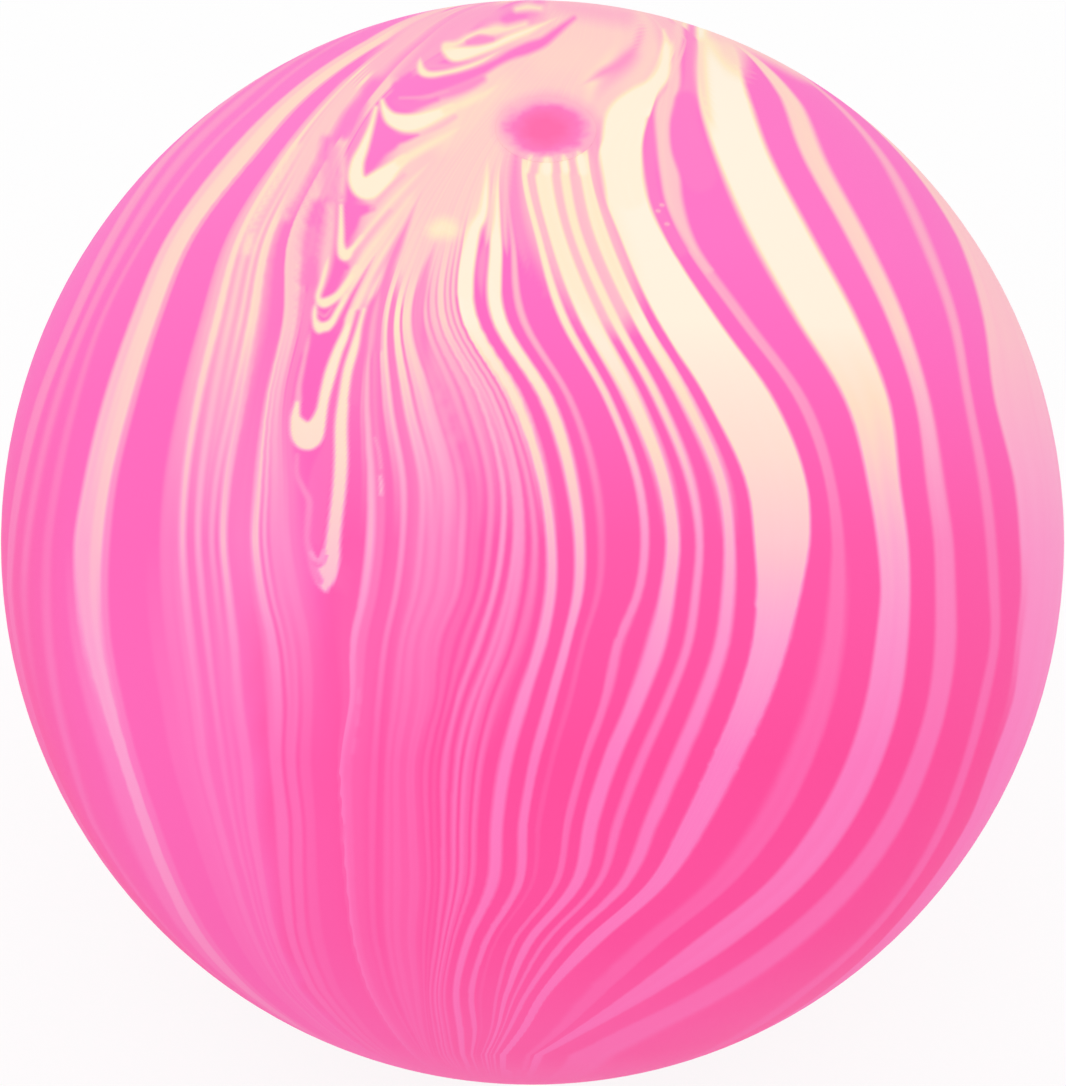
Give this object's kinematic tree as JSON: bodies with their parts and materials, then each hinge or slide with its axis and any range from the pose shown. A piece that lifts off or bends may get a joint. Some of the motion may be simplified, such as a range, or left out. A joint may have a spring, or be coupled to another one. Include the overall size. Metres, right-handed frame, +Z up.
{
  "type": "squishy ball",
  "caption": "Soft rubber squeeze ball with a marbled skin, a dough filling and a glued fill plug at the crown; it crushes along its axis and springs back.",
  "frame": {"origin": "middle of the flat patch that the ball rests on", "axes": "+Z up from the resting patch through the fill plug, which is the axis the ball is turned about; -Y faces the viewer of the picture"},
  "size_m": [0.07, 0.07, 0.0716],
  "materials": {
    "skin_rubber": "satin moulded rubber, pink with cream marbling",
    "dough": "soft matte dough",
    "plug_rubber": "satin moulded rubber",
    "glue": "satin cured glue, tinted pink"
  },
  "bodies": {
    "ball": {"outer_skin": "skin_rubber", "soft_filling": "dough"},
    "crown": {"fill_plug": "plug_rubber", "glue_seal": "glue"}
  },
  "joints": [
    {"name": "squeeze", "type": "slide", "parent": "ball", "child": "crown", "axis": [0, 0, -1], "range_m": [0, 0.0285], "stiffness_N_per_m": 800, "deforming": ["outer_skin", "soft_filling"]}
  ]
}
